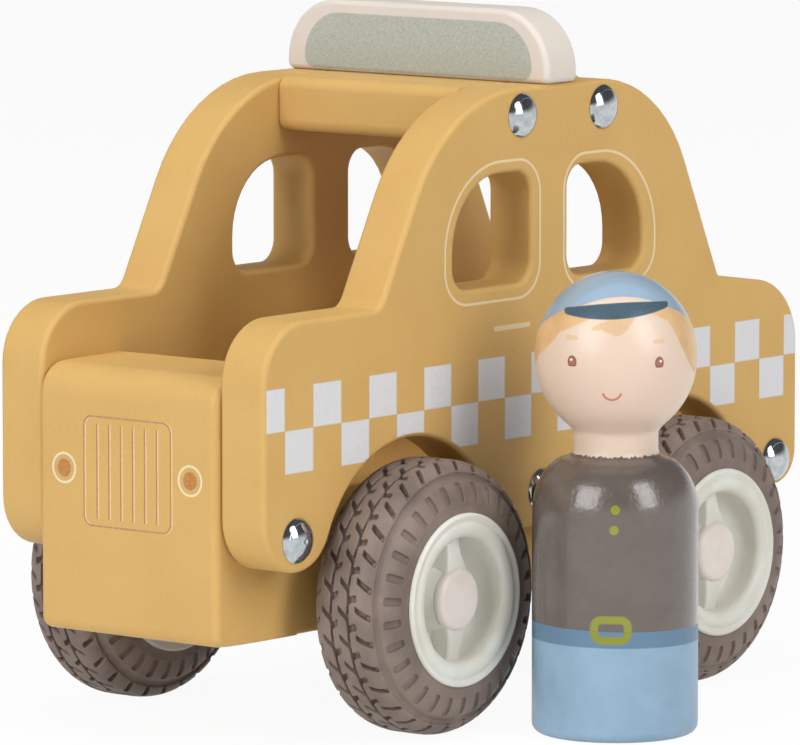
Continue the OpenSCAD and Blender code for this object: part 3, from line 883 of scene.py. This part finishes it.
hub_in = (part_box("front_left_rim")[0].y - home.y) / MM
back_r = BARREL_R - RIM_WALL
rim_profile = [
    (BORE_R, hub_in), (HUB_R - HUB_CHAMFER, hub_in), (HUB_R, hub_in + HUB_CHAMFER), (HUB_R, WEB_IN),
    (back_r - WEB_CHAMFER, WEB_IN), (back_r, WEB_IN - WEB_CHAMFER),
    (back_r, BACK_CHAMFER - RIM_HALF_W), (back_r + BACK_CHAMFER, -RIM_HALF_W),
    *oval((LIP_R - BACK_LIP_R, BACK_LIP_R - RIM_HALF_W), (BACK_LIP_R, BACK_LIP_R), 270, 360, 5),
    (LIP_R, -BEAD_HALF_W), (BARREL_R, -BEAD_HALF_W), (BARREL_R, BEAD_HALF_W),
    *oval((LIP_R - OUTER_LIP[0], BEAD_HALF_W), OUTER_LIP, 0, 112, 8),
    *oval((BOWL_R + BOWL_EDGE[0], LIP_FACE - LIP_BEAD[1]), LIP_BEAD, 46, 90, 6),
    *oval((BOWL_R + BOWL_EDGE[0], LIP_FACE - BOWL_EDGE[1]), BOWL_EDGE, 99, 180, 9),
    *oval((BOWL_R - BOWL_TAPER - BOWL_FOOT[0], WEB_OUT + BOWL_FOOT[1]), BOWL_FOOT, 0, -90, 10),
    (BOSS_FOOT_R + BOSS_FILLET, WEB_OUT), (BOSS_FOOT_R, WEB_OUT + BOSS_FILLET), (BOSS_R, BOSS_OUT),
    (HUB_R, BOSS_OUT), (HUB_R, HUB_OUT), (BORE_R, HUB_OUT),
]
rim = lathe("rim_model", rim_profile, home, "Y", RIM_STEPS)
smooth(rim)

bpy.ops.object.select_all(action="DESELECT")
bpy.ops.mesh.primitive_plane_add(size=1, location=(0, 0, 0))
rib = bpy.context.object
edit(rib)
far, width, reach = RIB_ROWS[0]
bpy.ops.transform.resize(value=(width * MM, (reach - WEB_IN) * MM, 1))
bpy.ops.transform.translate(value=home + Vector((0, (reach + WEB_IN) / 2, far)) * MM)
for next_far, next_width, next_reach in RIB_ROWS[1:]:
    bpy.ops.mesh.extrude_region_move(TRANSFORM_OT_translate={"value": (0, 0, (next_far - far) * MM)})
    growth = (next_width / width, (next_reach - WEB_IN) / (reach - WEB_IN), 1)
    bpy.ops.transform.resize(value=growth, center_override=home + Vector((0, WEB_IN, next_far)) * MM)
    far, width, reach = next_far, next_width, next_reach
bpy.ops.mesh.select_all(action="SELECT")
bpy.ops.mesh.normals_make_consistent(inside=False)
choose(rib, "EDGE", lambda edge: edge.calc_face_angle(0) > SHARP_ANGLE)
bpy.ops.mesh.bevel(offset=RIB_EDGE_R * MM, segments=RIB_SEGMENTS, affect="EDGES")
smooth(rib)
lower_rib = copy_mesh("lower_rib", rib.data)
edit(lower_rib)
bpy.ops.transform.rotate(value=math.pi, orient_axis="Y", center_override=home)
bpy.ops.object.mode_set(mode="OBJECT")
rim = join("rim_model", [rim, rib, lower_rib])
rim_plastic = moulded("rim_plastic", RIM_CREAM, roughness=0.34, height=0.012)
on_all_wheels(rim, "rim_moulded", rim_plastic, "rim_plastic", "rim")

# Hub caps: small moulded caps pressed on the hub ends, with a flat face and a soft rounded edge.
# They are the same plastic as the rims, with a warmer, pinker tone.
CAP_FACE = 8.9
CAP_OUT_R = 6.2
CAP_EDGE_R = 1.25
CAP_FOOT_R = 0.3
HUB_CAP_PINK = (srgb(230, 221, 214), srgb(222, 210, 202))

hub_cap_profile = [
    (HUB_R, BOSS_OUT),
    *oval((CAP_OUT_R - CAP_FOOT_R, BOSS_OUT + CAP_FOOT_R), (CAP_FOOT_R, CAP_FOOT_R), 270, 360, 5),
    *oval((CAP_OUT_R - CAP_EDGE_R, CAP_FACE - CAP_EDGE_R), (CAP_EDGE_R, CAP_EDGE_R), 0, 90, 8),
    (CAP_OUT_R / 2, CAP_FACE), (0, CAP_FACE), (0, HUB_OUT), (HUB_R, HUB_OUT),
]
hub_cap = lathe("hub_cap_model", hub_cap_profile, home, "Y", RIM_STEPS)
smooth(hub_cap)
cap_plastic = moulded("hub_cap_plastic", HUB_CAP_PINK, roughness=0.36, height=0.012)
on_all_wheels(hub_cap, "hub_cap_moulded", cap_plastic, "rim_plastic", "hub_cap")

# Tyres: solid moulded rubber, stretched over the rims. Two grooves part the tread into three ribs,
# each cut by slanted slots and small hooked notches, and the sidewalls have a ring of short slots.
PITCHES = 30
COLUMNS = 8
TYRE_R = 26.9
TREAD_HALF = 6.9
TREAD_FALL = 2.5
TREAD_LEVEL = 2.55
SIDEWALL_R = 23.5
TREAD_DEPTH = 1.4
SIDE_DEPTH = 0.75
CUT_EDGE = 0.03
CUT_DRAFT = 0.05
GROOVES = [(-2.0, -1.35), (2.1, 2.75)]
# Lean of the columns across the tread: distance from the middle plane, and pitches further round
TREAD_LEAN = [
    (-6.9, -0.05), (-5.6, -0.19), (-4.1, -0.32), (-2.0, 0.01), (-1.35, 0.01), (0.0, -0.12), (2.1, 0.2),
    (2.75, 0.2), (4.0, 0.12), (6.6, 0.45), (6.95, 0.5), (9.8, 0.5),
]
# Cuts in the tread: from and to across it, first column and how many of them
TREAD_CUTS = [
    (-6.8, -4.6, 4, 2), (-4.1, -2.0, 1, 2),
    (-1.35, 0.0, 3, 2), (0.0, 2.1, 7, 2),
    (2.75, 4.4, 2, 2), (4.0, 6.8, 5, 2),
]
TREAD_ROWS = [
    -6.86, -6.7, -6.2, -5.6, -5.1, -4.6, -4.1, -3.4, -2.7, -2.0, -1.35, -0.9, -0.45, 0.0, 0.5, 1.05, 1.6,
    2.1, 2.75, 3.2, 3.6, 4.0, 4.4, 4.9, 5.4, 5.9, 6.3, 6.6, 6.8, 6.88,
]
SIDE_SLOT_RADII = (19.15, 22.9)
SIDE_SLOT_COLUMNS = (7, 3)
SIDE_RADII = [23.2, 22.9, 21.7, 20.3, 19.15, 18.85, 18.6, 17.15]
BEAD_LEDGE_R = 18.7
BEAD_LEDGE = 0.1
# Valley between tread and sidewall: radius and reach from the middle plane
SHOULDER = [(24.6, 6.85), (24.35, 6.74), (24.1, 6.66), (23.85, 6.68), (23.6, 6.84), (23.4, 7.22)]
# Bead, rounding in to the rim: past the lip's radius and past the bead's seat
BEAD_SHIFTS = [(0.06, -0.03), (0.0, -0.1), (-0.1, -0.25)]
TYRE_BROWN = (srgb(134, 118, 108), srgb(112, 97, 89))


def lean_at(reach):
    """How far round the columns lie at a place across the tread, in pitches."""
    for (a, start), (b, end) in zip(TREAD_LEAN, TREAD_LEAN[1:]):
        if a <= reach <= b:
            return start + (end - start) * (reach - a) / (b - a)
    return TREAD_LEAN[0][1] if reach < 0 else TREAD_LEAN[-1][1]


def tread_radius(reach):
    """The tread's radius at a place across it: level to the grooves, then rounding off."""
    past = max(0.0, (abs(reach) - TREAD_LEVEL) / (TREAD_HALF - TREAD_LEVEL))
    return TYRE_R - TREAD_FALL * (1 - math.sqrt(max(0.0, 1 - min(past, 1.0) ** 2)))


def sidewall_reach(radius):
    """How far the sidewall bulges at a radius: a quarter oval from the shoulder to the bead."""
    share = (radius - LIP_R) / (SIDEWALL_R - LIP_R)
    bulge = (BEAD_HALF_W - TREAD_HALF) * math.sqrt(1 - share ** 2)
    return TREAD_HALF + bulge - (BEAD_LEDGE if radius < BEAD_LEDGE_R else 0.0)


bead = [(LIP_R + out, BEAD_HALF_W + along) for out, along in BEAD_SHIFTS]
sidewall = [(radius, sidewall_reach(radius)) for radius in SIDE_RADII]
side = [*SHOULDER, *sidewall, *bead, (BARREL_R, bead[-1][1])]
tread = [(tread_radius(reach), reach) for reach in TREAD_ROWS]
other_side = [(radius, -reach) for radius, reach in reversed(side)]
tyre_profile = [
    (radius, reach, lean_at(reach) / PITCHES) for radius, reach in [*other_side, *tread, *side]
]


def tyre_place(face):
    """Where a face of the tyre lies: its radius, its reach and its column within a pitch."""
    at = (face.calc_center_median() - home) / MM
    turn = math.atan2(-at.z, at.x) / math.tau
    return math.hypot(at.x, at.z), at.y, (turn * PITCHES - lean_at(at.y)) * COLUMNS


def in_tread_cut(face):
    """Whether a face is in one of the tread's grooves, slots or notches."""
    radius, reach, column = tyre_place(face)
    if radius < TYRE_R - TREAD_FALL:
        return False
    if any(low < reach < high for low, high in GROOVES):
        return True
    return any(
        low < reach < high and (column - first) % COLUMNS < count for low, high, first, count in TREAD_CUTS
    )


def in_side_slot(face):
    """Whether a face is in one of the short slots round a sidewall."""
    radius, reach, column = tyre_place(face)
    low, high = SIDE_SLOT_RADII
    first, count = SIDE_SLOT_COLUMNS
    return low < radius < high and abs(reach) > TREAD_HALF and (column - first) % COLUMNS < count


tyre = lathe("tyre_model", tyre_profile, home, "Y", PITCHES * COLUMNS)
for in_cut, depth in ((in_tread_cut, TREAD_DEPTH), (in_side_slot, SIDE_DEPTH)):
    choose(tyre, "FACE", in_cut)
    bpy.ops.mesh.inset(thickness=CUT_EDGE * MM, depth=0)
    bpy.ops.mesh.inset(thickness=CUT_DRAFT * MM, depth=-depth * MM)
bpy.ops.object.mode_set(mode="OBJECT")
rounding = tyre.modifiers.new("moulded_edges", "SUBSURF")
rounding.levels = 1
bpy.ops.object.modifier_apply(modifier="moulded_edges")
bpy.ops.object.shade_smooth()
tyre_rubber = moulded("tyre_rubber", TYRE_BROWN, roughness=0.52, height=0.03)
on_all_wheels(tyre, "tyre_rubber", tyre_rubber, "tyre_rubber", "tyre")

# Driver: one turned peg of wood that stands by itself, dipped and painted by hand: blue trousers and
# belt, a glossy brown jacket, a plain doll's face, fair hair and a light blue cap with a visor.
PEG_STEPS = 128
PEG_R = 16.2
PEG_FOOT_R = 2.0
PEG_SHOULDER = (43.5, 10.8)
PEG_NECK_R = 8.3
PEG_NECK_FILLET = (1.1, 1.43)
PEG_HEAD = (15.8, 33.0)
# Cove between neck and head: out from the neck and up from their crease; the head starts so far up
PEG_COVE = [(0.0, -1.1), (0.12, -0.4), (0.55, 0.14)]
PEG_COVE_TURN = 6.5
# Lower and upper edge of the belt: height on the axis and fall for each millimetre to the right
BELT = [(18.7, 0.012), (21.95, 0.02)]
BUCKLE_MIDDLE = (-1.25, 22.25)
BUCKLE_HALF = (4.0, 2.75)
BUCKLE_CORNER_R = 2.2
BUCKLE_WIDTH = 1.5
BUCKLE_SOFT = 0.22
BUTTON_HALF = (0.9, 0.9)
BUTTON_SOFT = 0.12
BUTTONS = [(-0.45, 45.65), (-0.7, 41.7)]
COLLAR_Z = 54.85
COLLAR_RAGGED = 1.5
FRAY_SCALES = (2.2, 2.2, 0.3)
STREAK_SCALE = 0.16
STREAK_SPAN = (0.3, 0.7)
BRUSH_SCALE = 1.7
GRAIN_SCALE = 2.6
GRAIN_SPAN = (0.3, 0.7)
ROSY_MIDDLE = (0, 70)
ROSY_HALF = (11, 9)
ROSY_SOFT = 0.6
ROSY_COVER = (0.35, 0.65)
# Lower edge of the hair: which side, height at the face's middle, fall for each millimetre outwards
HAIR_LINES = [
    (1, 86.2, 0.47), (1, 97.2, 1.61), (1, 103.7, 2.2),
    (-1, 84.85, 0.49), (-1, 92.7, 1.215), (-1, 127.0, 3.5),
]
HAIR_SOFT = 0.25
HAIR_SPAN = (0.35, 0.7)
NAPE_Z = 66.0
# Locks of the fringe, as slanted ovals: middle, half sizes and rise to the right
FRINGE = [
    ((-3.2, 80.95), (1.9, 0.62), 0.3), ((-0.9, 81.0), (2.2, 1.35), 0.1),
    ((0.3, 80.75), (1.9, 1.45), 0.35), ((1.6, 81.6), (1.6, 0.9), 0.5),
]
FRINGE_RAGGED = 0.6
FRINGE_SOFT = 0.15
FRINGE_SPAN = (0.3, 0.6)
FRINGE_LEAST_COVER = 0.8
# Edge of the cap: height on the axis, rise towards the face and to the right, lowest place behind
CAP_EDGE_Z = 79.3
CAP_RISE = 0.58
CAP_TILT = 0.035
CAP_BACK = 4.0
CAP_SOFT = 0.15
CAP_HIGHLIGHT_SPAN = (0.2, 0.6)
# Curved edges: middle, height there and bend; the first tops a painted highlight on the cap's front, the
# others are brush edges
CAP_HIGHLIGHT_EDGE = (0.4, 88.6, -0.052)
CAP_HIGHLIGHT_SOFT = 0.6
VISOR_TOP = (3.67, 85.3, -0.0075)
VISOR_FOOT = (-2.9, 82.17, 0.0115)
CRESCENT_TOP = (1.0, 86.25, -0.0285)
CRESCENT_SOFT = 0.1
VISOR_MIDDLE = (-0.18, 0)
VISOR_HALF_W = 10.0
VISOR_CORNER_R = 0.5
VISOR_SOFT = 0.12
VISOR_SPAN = (0.35, 0.65)
EYES = [(-8.79, 74.12), (7.96, 73.94)]
EYE_HALF = (0.84, 1.22)
EYE_CUT = 0.98
EYE_DROP = 0.1
EYE_SOFT = 0.15
EYE_INNER_SHARE = 0.72
EYE_LIGHT_HALF = (0.24, 0.24)
EYE_LIGHT_SOFT = 0.3
EYE_LIGHTS = [(-8.97, 74.42), (8.22, 74.18)]
BROWS = [(-8.83, 78.61), (7.84, 77.98)]
BROW_HALF = (1.1, 0.43)
BROW_CORNER_R = 0.4
BROW_SOFT = 0.2
BROW_COVER = (0.4, 0.9)
MOUTH_MIDDLE = (-1.15, 68.53)
MOUTH_R = 1.78
MOUTH_TOP_Z = 68.1
MOUTH_LINE = 0.23
# Roughness of the bare paint, its spread, and what jacket, skin and cap add to it
DRIVER_ROUGHNESS = 0.34
DRIVER_ROUGHNESS_SPREAD = 0.1
JACKET_ROUGHER = -0.18
SKIN_ROUGHER = 0.12
CAP_ROUGHER = -0.14
# Relief of the brushwork, and the shares in it of streaks, grain and the jacket's ripples
DRIVER_RELIEF = 0.2 * MM
STREAK_SHARE = 0.6
GRAIN_SHARE = 0.12
RIPPLE_SHARE = 0.5
RIPPLE_SCALE = 1.2
JACKET_COAT = 0.65
JACKET_COAT_ROUGHNESS = 0.13
TROUSER_BLUE = (srgb(141, 170, 193), srgb(133, 162, 185))
BELT_BLUE = srgb(94, 125, 152)
JACKET_BROWN = (srgb(99, 90, 84), srgb(93, 84, 78))
BUCKLE_LIME = srgb(134, 139, 30)
SKIN = (srgb(220, 198, 179), srgb(221, 191, 173))
HAIR = (srgb(218, 180, 134), srgb(205, 165, 115))
FRINGE_TAN = srgb(211, 176, 137)
# The cap's blue, and the paler blue of a painted highlight across its front
CAP_BLUE_AND_HIGHLIGHT = (srgb(145, 165, 181), srgb(149, 174, 196))
VISOR_BLUE = (srgb(66, 88, 102), srgb(72, 95, 109))
EYE_BROWN = srgb(158, 104, 80)
EYE_DARK = srgb(126, 76, 56)
EYE_WHITE = srgb(240, 232, 224)
BROW_TAN = srgb(214, 174, 122)
MOUTH_RED = srgb(200, 116, 98)

peg_low, peg_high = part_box("driver_peg")
peg_axis = Vector(((peg_low.x + peg_high.x) / 2, (peg_low.y + peg_high.y) / 2, peg_low.z))
peg_h = (peg_high.z - peg_low.z) / MM
head_r, head_h = PEG_HEAD
head_z = peg_h - head_h / 2
chin = math.degrees(math.acos(PEG_NECK_R / head_r))
crease_z = head_z - head_h / 2 * math.sin(math.radians(chin))
shoulder_z, shoulder_rise = PEG_SHOULDER
neck_z = shoulder_z + shoulder_rise
fillet_r, fillet_h = PEG_NECK_FILLET
peg_profile = [
    (0, 0), *oval((PEG_R - PEG_FOOT_R, PEG_FOOT_R), (PEG_FOOT_R, PEG_FOOT_R), 270, 360, 8),
    *oval((PEG_NECK_R, shoulder_z), (PEG_R - PEG_NECK_R, shoulder_rise), 0, 80, 16),
    *oval((PEG_NECK_R + fillet_r, neck_z + fillet_h), PEG_NECK_FILLET, 265, 180, 6),
    *((PEG_NECK_R + out, crease_z + rise) for out, rise in PEG_COVE),
    *oval((0, head_z), (head_r, head_h / 2), PEG_COVE_TURN - chin, 90, 40),
]
peg = lathe("driver_painted", peg_profile, peg_axis, "Z", PEG_STEPS)
smooth(peg)


def oval_mask(s, z, middle, half, soft):
    """1 inside an oval on the face."""
    off = length((s - middle[0]) / half[0], (z - middle[1]) / half[1])
    return ramp(off, 1 - soft, 1 + soft, 1.0, 0.0)


def over(height, edge, soft=PRINT_SOFT):
    """1 above an edge."""
    return ramp(height - edge, -soft, soft)


def bow(s, middle, height, bend):
    """The height of a curved brush edge, which bends up or down away from a middle."""
    off = s - middle
    return off * off * bend + height


driver_paint, tree, shader = new_material("driver_paint")
place = place_mm(tree, peg_axis, VIEW_TURN + math.pi / 2)
s, back, z = xyz(place)
facing = back < 0.0
streaks = noise(place, STREAK_SCALE, detail=3.0, roughness=0.6)
streak_mask = ramp(streaks, *STREAK_SPAN)
brush = noise(place, BRUSH_SCALE, roughness=0.7)
fray = noise(stretch(place, FRAY_SCALES), 1.0, roughness=0.6)
grain = noise(place, GRAIN_SCALE, detail=3.0, roughness=0.6)

# Trousers, belt and jacket, with a lime buckle and two buttons
belt_mask, jacket_mask = (over(z, s * -fall + edge) for edge, fall in BELT)
colour = tint(streak_mask, *TROUSER_BLUE)
colour = tint(belt_mask, colour, BELT_BLUE)
colour = tint(jacket_mask, colour, tint(streak_mask, *JACKET_BROWN))
buckle_edge = box_distance(s, z, BUCKLE_MIDDLE, BUCKLE_HALF, BUCKLE_CORNER_R)
buckle = within(buckle_edge, BUCKLE_SOFT) * over(buckle_edge, -BUCKLE_WIDTH, BUCKLE_SOFT)
buttons = [oval_mask(s, z, button, BUTTON_HALF, BUTTON_SOFT) for button in BUTTONS]
colour = tint(facing * either(buckle, *buttons), colour, BUCKLE_LIME)

# Skin, hair down to the nape, a fringe and the cap, with a painted highlight across its front
rosy = oval_mask(s, z, ROSY_MIDDLE, ROSY_HALF, ROSY_SOFT)
skin = tint(rosy * ramp(grain, *GRAIN_SPAN, *ROSY_COVER), *SKIN)
behind = back.calc("MAXIMUM", 0.0)
hair_edge = peg_h
for way, height, fall in HAIR_LINES:
    outwards = s * way + behind
    hair_edge = (outwards * -fall + height).calc("MINIMUM", hair_edge)
hair_mask = over(z, hair_edge.calc("MAXIMUM", NAPE_Z), HAIR_SOFT)
head = tint(hair_mask, skin, tint(ramp(streaks, *HAIR_SPAN), *HAIR))
ragged_s = s + (brush - 0.5) * FRINGE_RAGGED
locks = []
for middle, half, rise in FRINGE:
    slanted_z = z - (s - middle[0]) * rise
    locks.append(oval_mask(ragged_s, slanted_z, middle, half, FRINGE_SOFT))
fringe = either(*locks) * ramp(brush, *FRINGE_SPAN, FRINGE_LEAST_COVER)
head = tint(facing * fringe, head, FRINGE_TAN)
cap_edge = back.calc("MINIMUM", CAP_BACK) * -CAP_RISE + s * CAP_TILT + CAP_EDGE_Z
cap_mask = over(z, cap_edge, CAP_SOFT)
# Painted highlight: a paler, streaky band across the cap's front, below a curved edge
cap_highlight = facing * over(bow(s, *CAP_HIGHLIGHT_EDGE), z, CAP_HIGHLIGHT_SOFT)
cap_blue_and_highlight = tint(cap_highlight * ramp(streaks, *CAP_HIGHLIGHT_SPAN), *CAP_BLUE_AND_HIGHLIGHT)
head = tint(cap_mask, head, cap_blue_and_highlight)

# The visor over a crescent of bare skin, brows, brown eyes with a light in each, and a small smile
visor_top = bow(s, *VISOR_TOP)
visor_foot = bow(s, *VISOR_FOOT)
visor_mid = (visor_top + visor_foot) / 2
visor_size = (VISOR_HALF_W, (visor_top - visor_foot) / 2)
visor_edge = box_distance(s, z - visor_mid, VISOR_MIDDLE, visor_size, VISOR_CORNER_R)
visor_blue = tint(ramp(brush, *VISOR_SPAN), *VISOR_BLUE)
crescent = over(z, visor_mid) * over(bow(s, *CRESCENT_TOP), z, CRESCENT_SOFT)
brow_edges = [box_distance(s, z, brow, BROW_HALF, BROW_CORNER_R) for brow in BROWS]
brows = either(*(within(edge, BROW_SOFT) for edge in brow_edges))
lights = [oval_mask(s, z, light, EYE_LIGHT_HALF, EYE_LIGHT_SOFT) for light in EYE_LIGHTS]
smile_edge = box_distance(s, z, MOUTH_MIDDLE, (MOUTH_R, MOUTH_R), MOUTH_R)


def eyes(share):
    """1 on both eyes, drawn at a share of their size: ovals cut level below."""
    half = [size * share for size in EYE_HALF]
    masks = []
    for eye_s, eye_z in EYES:
        eye = oval_mask(s, z, (eye_s, eye_z - EYE_DROP), half, EYE_SOFT)
        masks.append(eye * over(z, eye_z - EYE_CUT * share))
    return either(*masks)


for mask, ink in (
    (crescent, skin),
    (within(visor_edge, VISOR_SOFT), visor_blue),
    (brows * ramp(grain, *GRAIN_SPAN, *BROW_COVER), BROW_TAN),
    (eyes(1.0), EYE_DARK),
    (eyes(EYE_INNER_SHARE), EYE_BROWN),
    (either(*lights), EYE_WHITE),
    (line_mask(smile_edge, MOUTH_LINE) * over(MOUTH_TOP_Z, z), MOUTH_RED),
):
    head = tint(facing * mask, head, ink)

# The ragged collar between jacket and neck, the shine of each paint and its brushwork
skin_mask = over(z, (fray - 0.5) * COLLAR_RAGGED + COLLAR_Z)
rough = grain * DRIVER_ROUGHNESS_SPREAD + DRIVER_ROUGHNESS
for mask, more in ((jacket_mask, JACKET_ROUGHER), (skin_mask, SKIN_ROUGHER), (cap_mask, CAP_ROUGHER)):
    rough = rough + mask * more
coat = jacket_mask * (1.0 - skin_mask)
ripple = noise(place, RIPPLE_SCALE) * coat
height = streaks * STREAK_SHARE + grain * GRAIN_SHARE + ripple * RIPPLE_SHARE
plug(shader.inputs, {
    "Base Color": tint(skin_mask, colour, head),
    "Roughness": rough,
    "Coat Weight": coat * JACKET_COAT,
    "Coat Roughness": JACKET_COAT_ROUGHNESS,
    "Normal": relief(height, DRIVER_RELIEF),
})
dress(peg, driver_paint, "driver", "driver_paint", "driver_peg")
